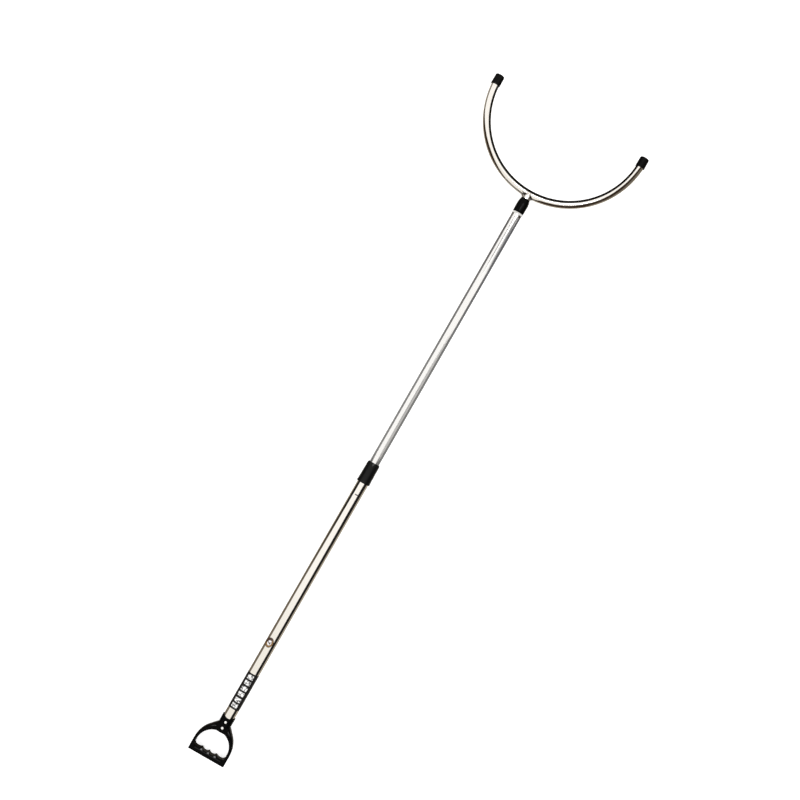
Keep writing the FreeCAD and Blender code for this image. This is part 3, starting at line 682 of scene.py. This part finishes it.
def make_label():
    """The film wrapped round the lower tube."""
    inner, rounding = LOWER_TUBE_RADIUS, 0.08
    profile = rounded([
        (LABEL_START, inner, 0), (LABEL_END, inner, 0), (LABEL_END, LABEL_RADIUS, rounding),
        (LABEL_START, LABEL_RADIUS, rounding),
    ], arc_steps=2, longest=3.0)
    made = turned("label_wrap", profile, FINE_SEGMENTS)
    finished(made, label_material(), LOWER, "label_print", "label_band")


make_label()


def make_badge():
    """An oval sticker that follows the tube, slightly domed, with a rim and a plain turned motif."""
    start, end, _ = span("oval_badge")
    low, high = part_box("oval_badge")
    middle, half_long = (start + end) / 2, (end - start) / 2
    side, half_wide = (low.y + high.y) / 2 / MM, (high.y - low.y) / 2 / MM
    rings, segments, round_tube, rim_lift, dome = 14, 72, LOWER_TUBE_RADIUS, 0.20, 0.16
    vertices = []
    for layer in ("top", "foot"):
        shares = np.linspace(0, 1, rings) if layer == "top" else (1.0, 0.0)
        for share in shares:
            for angle in full_turn(segments):
                across = side + half_wide * share * math.sin(angle)
                height = math.sqrt(round_tube ** 2 - across ** 2)
                lift = rim_lift + dome * (1 - share ** 6) if layer == "top" else 0.0
                grow = (round_tube + lift) / round_tube
                station = middle + half_long * share * math.cos(angle)
                vertices.append((station, across * grow, height * grow))
    made = make_mesh("badge_oval", place(vertices), grid_faces(rings + 2, segments, False, True))
    points = points_of(made)
    across = points[:, 1] / np.hypot(points[:, 1], points[:, 2]) * round_tube
    plan = [(points[:, 0] - middle) / half_long, (across - side) / half_wide, points[:, 2] * 0]
    set_attribute(made, "plan", np.stack(plan, -1))
    finished(made, badge_material(), LOWER, "badge_print", "oval_badge")


def badge_material():
    """Gold ring and dark motif over "plan", which is -1 to 1 along and across the oval."""
    material, tree = material_tree("badge_print")
    plan = add_node(tree, "Attribute", attribute_name="plan").outputs["Vector"]
    along, across, _ = parts(tree, plan)
    away = (along * along + across * across).math("SQRT")
    grain = noise(tree, object_point(tree), 900, detail=3.0)
    gold = mix_colour(tree, grain, (0.12, 0.058, 0.012), (0.30, 0.165, 0.045))
    brown = mix_colour(tree, grain, (0.022, 0.008, 0.003), (0.06, 0.024, 0.008))
    pale = mix_colour(tree, grain, (0.72, 0.70, 0.72), (0.88, 0.86, 0.86))
    ring = away.step(0.50, 0.58) * away.step(0.95, 0.90)
    shade = (along + across * 0.75).step(0.0, 0.50) * away.step(0.40, 0.50)
    swoop = (along * 1.2 - across * across * 1.6 + 0.10).math("ABSOLUTE").step(0.17, 0.10)
    swoop = swoop * away.step(0.55, 0.48)
    dot = ((along + 0.20) * (along + 0.20) + (across + 0.16) * (across + 0.16)).step(0.030, 0.018)
    colour = mix_colour(tree, ring, pale, gold)
    colour = mix_colour(tree, (swoop + dot).math("MINIMUM", 1.0), colour, brown)
    colour = mix_colour(tree, shade, colour, brown)
    colour = mix_colour(tree, away.step(0.87, 0.93), colour, brown)
    finish_material(tree, colour, grain.scaled(0.22, 0.36), specular=0.4, height=ring + grain * 0.2,
                    relief=0.00005, coat=0.3)
    return material


make_badge()


def make_stop_key():
    """The stop key's own CAD shape with its edges rounded."""
    name, width = "stop_key_insert", 0.25
    edit = bmesh.new()
    edit.from_mesh(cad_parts["stop_key"].data)
    bmesh.ops.remove_doubles(edit, verts=edit.verts, dist=2e-6)
    bmesh.ops.dissolve_limit(edit, angle_limit=math.radians(1.0), verts=edit.verts, edges=edit.edges)
    hard = [e for e in edit.edges if len(e.link_faces) == 2 and e.calc_face_angle() > math.radians(30)]
    bmesh.ops.bevel(edit, geom=hard, offset=width * MM, segments=2, profile=0.5, affect="EDGES",
                    clamp_overlap=True)
    bmesh.ops.triangulate(edit, faces=edit.faces)
    mesh = bpy.data.meshes.new(name)
    edit.to_mesh(mesh)
    edit.free()
    mesh.shade_smooth()
    mesh.set_sharp_from_angle(angle=math.radians(30))
    finished(linked(name, mesh), KEY_STEEL, LOWER, "dark_steel", "stop_key")


make_stop_key()


def make_lower_ferrule():
    """The collar on the lower tube's mouth: a rim, a slow taper and a rounded lip."""
    start, end, radius = span("lower_ferrule")
    shell, throat, tube_end = 16.02, 14.4, span("lower_tube")[1]
    corners = [
        (start, shell, 0.3), (tube_end, shell, 0.2), (tube_end, throat, 0.2), (end, throat, 0.3),
        (end, 15.6, 1.0), (end - 2.2, 17.2, 2.0), (end - 7, 17.6, 8.0), (start + 14, 18.35, 12.0),
        (start + 4.2, 18.75, 1.5), (start + 3.4, radius, 0.5), (start, radius, 1.6),
    ]
    turned_piece("lower_ferrule_moulding", corners, FERRULE_BLACK, LOWER, "ferrule_plastic", "lower_ferrule")


def make_turn_mark():
    """A raised triangle on the lower ferrule's lip, a thin slab that follows the collar."""
    end = span("lower_ferrule")[1]
    rows, columns, half_thick = 13, 13, 0.40
    wide_end, length, width, narrowing, ramp = 1.6, 8.2, 7.6, 0.92, 5
    vertices = []
    for lift in (half_thick, -half_thick):
        for row in range(rows):
            along = row / (rows - 1)
            station = end - wide_end - length * along
            base = np.interp(station, [end - 7, end - 2.2, end], [17.55, 17.1, 15.7])
            for column in range(columns):
                aside = column / (columns - 1) - 0.5
                angle = aside * width * (1 - narrowing * along) / base
                edge = min(1.0, ramp * (1 - abs(aside) * 2), ramp * (1 - along), ramp * along + 0.3)
                height = base + (lift * edge if lift > 0 else lift)
                vertices.append((station, height * math.sin(angle), height * math.cos(angle)))
    faces = grid_faces(rows, columns, False, False)
    layer = rows * columns
    under = [tuple(reversed([k + layer for k in face])) for face in faces]
    rim = [*range(columns), *[r * columns + columns - 1 for r in range(1, rows)],
           *[(rows - 1) * columns + c for c in range(columns - 2, -1, -1)],
           *[r * columns for r in range(rows - 2, 0, -1)]]
    wall = [(a, b, b + layer, a + layer) for a, b in zip(rim, rim[1:] + rim[:1])]
    made = make_mesh("turn_mark", place(vertices), faces + under + wall, sharp=50.0)
    # The whole mark is rougher and lighter; the roughness is its grain, the lighter colour a painted
    # highlight.
    set_attribute(made, "grain", np.ones(len(made.data.vertices)))
    finished(made, FERRULE_BLACK, LOWER, "ferrule_plastic")


make_lower_ferrule()
make_turn_mark()

# ---- top ferrule, stem, weld and fork


def make_top_ferrule():
    """The glossy cap over the upper tube's end, which narrows to the stem."""
    start, end, radius = span("top_ferrule")
    shell, throat, tube_end = UPPER_TUBE_RADIUS + 0.02, 11.03, end - 17
    corners = [
        (start, shell, 0.3), (tube_end, shell, 0.2), (tube_end, throat, 0.2), (end, throat, 0.3),
        (end, 12.2, 1.1), (end - 6, 14.0, 8.0), (end - 15.5, radius, 6.0), (start + 6, radius - 0.1, 6.0),
        (start, radius - 0.9, 0.7),
    ]
    turned_piece("top_ferrule_moulding", corners, CAP_BLACK, UPPER, "cap_plastic", "top_ferrule")


make_top_ferrule()


def make_neck_ring():
    """The pale ring that stands out under the top ferrule."""
    start, end, radius = span("neck_ring")
    shell = UPPER_TUBE_RADIUS + 0.02
    corners = [(start, shell, 0.3), (end, shell, 0.2), (end, radius, 0.3), (start, radius - 0.2, 0.9)]
    turned_piece("neck_ring_bush", corners, NYLON, UPPER, "nylon", "neck_ring")


make_neck_ring()

FORK_START, FORK_END, FORK_HALF = span("fork_tube")
FORK_RADIUS = (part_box("fork_tube")[1].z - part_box("fork_tube")[0].z) / 2 / MM
FORK_BEND = FORK_HALF - FORK_RADIUS
FORK_CENTRE = FORK_START + FORK_RADIUS + FORK_BEND
# Radius of the outer and the inner skin of the stem and the fork, and the way in which it is built.
SKINS = ((FORK_RADIUS, 1), (FORK_RADIUS - TUBE_WALL, -1))
STEM_START = span("stem_tube")[0]


def circle(radius):
    """Sides and heights round a tube."""
    angles = full_turn(SEGMENTS)
    return radius * np.sin(angles), radius * np.cos(angles)


def fork_side(sides, heights):
    """Stations of the fork tube's outer side at the throat."""
    reach = FORK_BEND + np.sqrt(np.maximum(FORK_RADIUS ** 2 - heights ** 2, 0))
    return FORK_CENTRE - np.sqrt(reach ** 2 - sides ** 2)


def make_stem():
    """The stub under the fork, coped to the fork tube."""
    sunk, shallow, rings = 0.3, 0.995, []
    for radius, way in SKINS:
        sides, heights = circle(radius)
        ends = fork_side(sides, heights * shallow) + sunk
        shares = [0, 0.01, 0.2, 0.4, 0.6, 0.8, 0.9, 0.96, 1][::way]
        rings += [np.stack([STEM_START + (ends - STEM_START) * s, sides, heights], -1) for s in shares]
    vertices = np.concatenate(rings)
    made = make_mesh("stem_stub", place(vertices), grid_faces(len(rings), SEGMENTS, True, True))
    set_attribute(made, "flow", points_of(made) * MM)
    finished(made, POLISHED, UPPER, "polished_steel", "stem_tube")


make_stem()


def make_fork():
    """The C: its skins, swept round the half circle and its straight tails."""
    tail, tail_shares, bend_steps = FORK_END - FORK_CENTRE, (1, 0.98, 0.6, 0.2), 256
    path = [(FORK_CENTRE + tail * s, -FORK_BEND, 0.0) for s in tail_shares]
    path += [(FORK_CENTRE - FORK_BEND * math.sin(a), -FORK_BEND * math.cos(a), a)
             for a in np.linspace(0, math.pi, bend_steps + 1)]
    path += [(FORK_CENTRE + tail * s, FORK_BEND, math.pi) for s in reversed(tail_shares)]
    vertices, flow = [], []
    for radius, way in SKINS:
        outs, heights = circle(radius)
        travelled, last, rows = 0.0, path[0], []
        for station, side, turn in path:
            travelled += math.hypot(station - last[0], side - last[1])
            last = (station, side)
            ring = (station - math.sin(turn) * outs, side - math.cos(turn) * outs, heights)
            rows.append((np.stack(ring, -1), np.stack([outs * 0 + travelled, outs, heights], -1)))
        for ring, ring_flow in rows[::way]:
            vertices.extend(ring)
            flow.extend(ring_flow)
    made = make_mesh("fork_bow", place(vertices), grid_faces(2 * len(path), SEGMENTS, True, True))
    set_attribute(made, "flow", np.array(flow) * MM)
    finished(made, POLISHED, UPPER, "polished_steel", "fork_tube")


make_fork()


def weld_field(u, v, w):
    """Weld metal: a rippled bead over the joint, thin on top and widening to a fillet at its sides."""
    around, turn = np.hypot(v, w), np.arctan2(w, v)
    stem = np.maximum(around - FORK_RADIUS, u - (FORK_CENTRE - FORK_BEND))
    ring = np.hypot(np.hypot(u - FORK_CENTRE, v) - FORK_BEND, w) - FORK_RADIUS
    sideways = np.abs(v) / np.maximum(around, 1e-6)
    thin, widening, sunk = 2.0, 9.5, 0.38
    spread = np.clip((sideways - 0.35) / 0.65, 0, 1) ** 1.5
    fillet = soft_union(stem, ring, thin + widening * spread) + sunk
    bead_top, bead_side = 1.05, 1.1
    bead = np.hypot(stem, ring) - (bead_top + bead_side * sideways)
    ripples, wander, ripple_depth = 20, 1.6, 0.11
    ripple = np.sin(turn * ripples + wander * np.sin(turn * 3))
    joined = soft_union(fillet, bead, 0.8) + ripple_depth * ripple
    hollow = np.minimum(around - (FORK_RADIUS - 0.5), ring + 0.5)
    tubes = np.minimum(np.minimum(stem, ring) + 0.3, hollow + 0.1)
    highest = 12.3
    return np.maximum(np.maximum(joined, -tubes), np.abs(w) - highest)


def make_weld():
    """The weld metal, meshed in a box that reaches past the CAD bead."""
    start, end, _ = span("weld_bead")
    behind, ahead, half_wide, half_high, step = 6, 8, 24, 13.5, 0.4
    made = surface_of("weld_fillet", weld_field, (start - behind, -half_wide, -half_high),
                      (end + ahead, half_wide, half_high), step)
    finished(made, WELD, UPPER, "weld_metal", "weld_bead")


make_weld()


def make_tip_cap(node, name):
    """A rubber cap on one tip of the fork, with a rolled mouth and a rounded end."""
    start, end, radius = span(node)
    low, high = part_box(node)
    side = (low.y + high.y) / 2 / MM
    shell = FORK_RADIUS + 0.02
    corners = [
        (start, shell, 0.2), (FORK_END, shell, 0.2), (FORK_END, 0.0, 0), (end, 0.0, 0),
        (end, radius - 0.35, 3.4), (start + 3.4, radius - 0.1, 0.6), (start + 2.6, radius, 0.4),
        (start, radius, 0.8),
    ]
    turned_piece(name, corners, TIP_BLACK, UPPER, "tip_rubber", node, SEGMENTS, side)


make_tip_cap("end_cap_left", "tip_cap_left")
make_tip_cap("end_cap_right", "tip_cap_right")

# ---- inner parts that keep their CAD shape

INNER_PARTS = {
    "mouth_bush": NYLON, "expander_sleeve": NYLON, "guide_ring": NYLON, "reducer_bush": NYLON,
    "cone_nut": LOCK_STEEL, "thrust_washer": LOCK_STEEL, "end_nut": LOCK_STEEL, "lock_stud": STUD_STEEL,
    "lock_core": LOCK_ALLOY, "neck_pin": RIVET,
}
for node_name, inner_material in INNER_PARTS.items():
    for material_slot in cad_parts[node_name].material_slots:
        material_slot.material = inner_material

# ---- floor, studio and camera

LOWER_CHANGE, UPPER_CHANGE = (450, 800), (1100, 1700)


def station_x(station):
    return BUTT + station * MM


def make_card(name, corners, near, far=None, change=LOWER_CHANGE, faces=None):
    """A studio card that only shiny surfaces see, from (station, y, z) corners with y and z in metres.
    It goes from the near brightness to the far one between two stations."""
    mesh = bpy.data.meshes.new(name)
    points = [(station_x(s), y, z) for s, y, z in corners]
    mesh.from_pydata(points, [], faces or [tuple(range(len(corners)))])
    card = linked(name, mesh)
    material, tree = material_tree(name)
    along = parts(tree, object_point(tree))[0]
    colour = mix_colour(tree, along.step(station_x(change[0]), station_x(change[1])), near, far or near)
    glow = add_node(tree, "Emission", {"Color": colour})
    tree.links.new(glow.outputs[0], add_node(tree, "OutputMaterial").inputs[0])
    mesh.materials.append(material)
    card.visible_camera = card.visible_diffuse = card.visible_shadow = False
    card.visible_transmission = card.visible_volume_scatter = False


def upright(name, y, foot, near, far=None, change=LOWER_CHANGE):
    """A card standing along the pole at that y. foot holds (station, bottom z, top z)."""
    corners = [(s, y, z) for s, z, _ in foot] + [(s, y, z) for s, _, z in reversed(foot)]
    make_card(name, corners, near, far, change)


def level(name, z, plan, near, far=None, change=LOWER_CHANGE):
    """A card lying at that z. plan holds (station, first y, second y)."""
    corners = [(s, y, z) for s, y, _ in plan] + [(s, y, z) for s, _, y in reversed(plan)]
    make_card(name, corners, near, far, change)


def round_fork(name, sections, near):
    """A card swept round the fork. A section is an angle, then a radius in millimetres and its z, twice.
    The angle is 0 at the stem and 90 beside the fork's centre on the -Y side."""
    corners = []
    for angle, *ends in sections:
        turn = math.radians(angle)
        for radius, z in (ends[:2], ends[2:]):
            corners.append((FORK_CENTRE - radius * math.cos(turn), -radius * MM * math.sin(turn), z))
    make_card(name, corners, near, faces=grid_faces(len(sections), 2, False, False))


def fork_cards(black, brown, grey):
    """A low wall inside the fork, and leaning screens outside it, for the lines along its tube."""
    rim, stand, low = AXIS_HEIGHT + FORK_RADIUS * MM, 70, 0.0006
    inside, ahead = 205, FORK_CENTRE + 1500
    half = inside * MM
    round_fork("card_fork_floor", [(a, 0, low, inside, low) for a in range(-96, 97, 6)], black)
    level("card_fork_front", low, [(FORK_CENTRE, -half, half), (ahead, -half, half)], black)
    wall, wall_radius, wall_lift, lift_change = [], 100, 41.6, 14
    for angle in range(-112, 113, 8):
        lift = math.radians(wall_lift + lift_change * math.cos(math.radians(angle)))
        wall.append((angle, wall_radius, 0, wall_radius, rim + 0.115 * math.tan(lift)))
    round_fork("card_fork_wall", wall, black)
    lifts = ((-72, 2, 0), (-60, 35, 0), (-45, 55, 0), (-32, 35, 0), (-20, 2, 0), (6, 2, 0), (10, 42, 0),
             (16, 47, 0), (30, 53, 0), (45, 60, 0), (60, 70, 10), (70, 80, 25), (80, 92, 41), (96, 92, 41))
    dark, pale = [], []
    for angle, top, split in lifts:
        height = min(0.22, stand * MM * math.tan(math.radians(min(top, 89))))
        over = height / math.tan(math.radians(top)) / MM
        fold_height = min(height, stand * MM * math.tan(math.radians(split)))
        foot = FORK_BEND + stand
        dark.append((angle, foot, rim + fold_height, FORK_BEND + over, rim + height))
        pale.append((angle, foot, 0.0, foot, rim + fold_height))
    round_fork("card_fork_left", dark[:5], brown)
    round_fork("card_fork_left_foot", pale[:5], brown)
    round_fork("card_fork_right", dark[5:], brown)
    round_fork("card_fork_right_foot", pale[5:10], brown)
    round_fork("card_fork_tip_foot", pale[9:], grey)


def make_cards():
    """Dark and grey cards beside the pole and round the fork, which draw the steel's dark lines, and a
    bright one over the neck."""
    black, grey, low = (0.008, 0.007, 0.006), (0.19, 0.16, 0.12), 0.0006
    left, right = 0.40, -0.30
    before, (rise, crest), middle, top = -100, LOWER_CHANGE, 906, 1700
    pale = (0.60, 0.59, 0.57)
    stand = [(before, 0, 0.111), (rise, 0, 0.111), (crest, 0, 0.285), (middle, 0, 0.285)]
    upright("card_left", left, stand, grey, black)
    plan = [(before, 0.018, left), (rise, 0.018, left), (crest, 0.07, left), (middle, 0.07, left)]
    level("card_left_floor", low, plan, grey, black)
    upright("card_left_upper", left, [(middle, 0, 0.144), (top, 0, 0.144)], (0.19, 0.19, 0.185),
            (0.10, 0.085, 0.08), UPPER_CHANGE)
    level("card_left_upper_floor", low, [(middle, 0.017, left), (top, 0.017, left)],
          (0.30, 0.30, 0.29), (0.17, 0.165, 0.16), UPPER_CHANGE)
    stand = [(before, 0, 0.36), (rise, 0, 0.36), (crest, 0.07, 0.47), (middle, 0.07, 0.47)]
    upright("card_right", right, stand, black)
    stand = [(middle, 0, 0.113), (1200, 0, 0.113), (1350, 0, 0.156), (top, 0, 0.156)]
    upright("card_right_low", right, stand, (0.17, 0.165, 0.16), (0.14, 0.14, 0.145), UPPER_CHANGE)
    level("card_right_upper_floor", low, [(middle, -0.017, right), (top, -0.017, right)],
          (0.26, 0.26, 0.25), (0.14, 0.14, 0.15), UPPER_CHANGE)
    stand = [(middle, 0.113, 0.62), (1200, 0.113, 0.62), (1330, 0.156, 0.30)]
    upright("card_right_high", right, stand, pale)
    stand = [(middle, 0.62, 1.0), (1100, 0.62, 0.92), (1260, 0.62, 0.80), (1330, 0.30, 0.36)]
    upright("card_right_trim", right, stand, pale, (0.10, 0.10, 0.10), (950, 1100))
    upright("card_right_top", right, [(1560, 0.156, 0.20), (1640, 0.156, 0.47), (1760, 0.156, 0.47)],
            (0.46, 0.46, 0.47), (0.19, 0.19, 0.20), (1650, 1720))
    over, high = 0.099, 1.1
    level("card_over_upper", over, [(1505, 0.0175, 0.0185), (1575, 0.010, 0.026), (top, 0.010, 0.026)],
          (0.06, 0.05, 0.05))
    level("card_over_neck", high, [(1885, right, 0.05), (2000, right, 0.05)], (18.0, 18.0, 18.0))
    fork_cards(black, (0.035, 0.020, 0.010), (0.17, 0.15, 0.12))


def make_floor():
    """A plain pale floor, lit by the studio and a little by itself, so that shadows stay soft and short."""
    mesh, r = bpy.data.meshes.new("floor"), 6.0
    mesh.from_pydata([(-r, -r, 0), (r, -r, 0), (r, r, 0), (-r, r, 0)], [], [(0, 1, 2, 3)])
    floor = linked("floor", mesh)
    material, tree = material_tree("pale_floor")
    clouds = noise(tree, object_point(tree), 1.5, detail=3.0)
    colour = mix_colour(tree, clouds, (0.90, 0.90, 0.90), (0.93, 0.93, 0.93))
    finish_material(tree, colour, 0.9, specular=0.0)
    shader = next(n for n in tree.nodes if n.type == "BSDF_PRINCIPLED")
    shader.inputs["Emission Color"].default_value = WHITE
    shader.inputs["Emission Strength"].default_value = 0.55
    mesh.materials.append(material)
    floor.visible_glossy = False


def make_world():
    """Soft white light all round. Shiny surfaces see a bright ceiling over a darker room."""
    world = bpy.data.worlds.new("studio")
    bpy.context.scene.world = world
    world.use_nodes = True
    tree = world.node_tree
    tree.nodes.clear()
    toward, _, height = parts(tree, add_node(tree, "TexCoord").outputs["Generated"])
    rise = height.step(math.sin(math.radians(9)), math.sin(math.radians(16)))
    room = mix_colour(tree, height.step(-0.22, -0.10), (0.50, 0.45, 0.37), (0.03, 0.022, 0.016))
    ceiling = mix_colour(tree, toward.step(-0.225, -0.15), (1.08, 1.05, 0.99), (1.22, 1.20, 1.17))
    seen = mix_colour(tree, rise, room, ceiling)
    path = add_node(tree, "LightPath")
    shiny = add_node(tree, "Background", {"Color": seen, "Strength": 1.0})
    even = add_node(tree, "Background", {"Color": WHITE, "Strength": 1.25})
    pale = add_node(tree, "Background", {"Color": WHITE, "Strength": 1.0})
    glossy, direct = path.outputs["Is Glossy Ray"], path.outputs["Is Camera Ray"]
    first = add_node(tree, "MixShader", {0: glossy, 1: even.outputs[0], 2: shiny.outputs[0]})
    second = add_node(tree, "MixShader", {0: direct, 1: first.outputs[0], 2: pale.outputs[0]})
    out = add_node(tree, "OutputWorld")
    tree.links.new(second.outputs[0], out.inputs[0])


def make_camera():
    """Straight above, turned so that the pole rises to the right as in the photograph."""
    over_x, over_y, height, turn = 0.1003, 0.0245, 3.4, -60.17
    data = bpy.data.cameras.new("camera")
    data.sensor_width = 36.0
    data.lens = 56.62
    data.clip_end = 50.0
    camera = linked("camera", data)
    camera.location = (over_x, over_y, AXIS_HEIGHT + height)
    camera.rotation_euler = (0.0, 0.0, math.radians(turn))
    bpy.context.scene.camera = camera


make_floor()
make_cards()
make_world()
make_camera()
bpy.context.scene.view_settings.view_transform = "Standard"
bpy.context.scene.view_settings.look = "None"
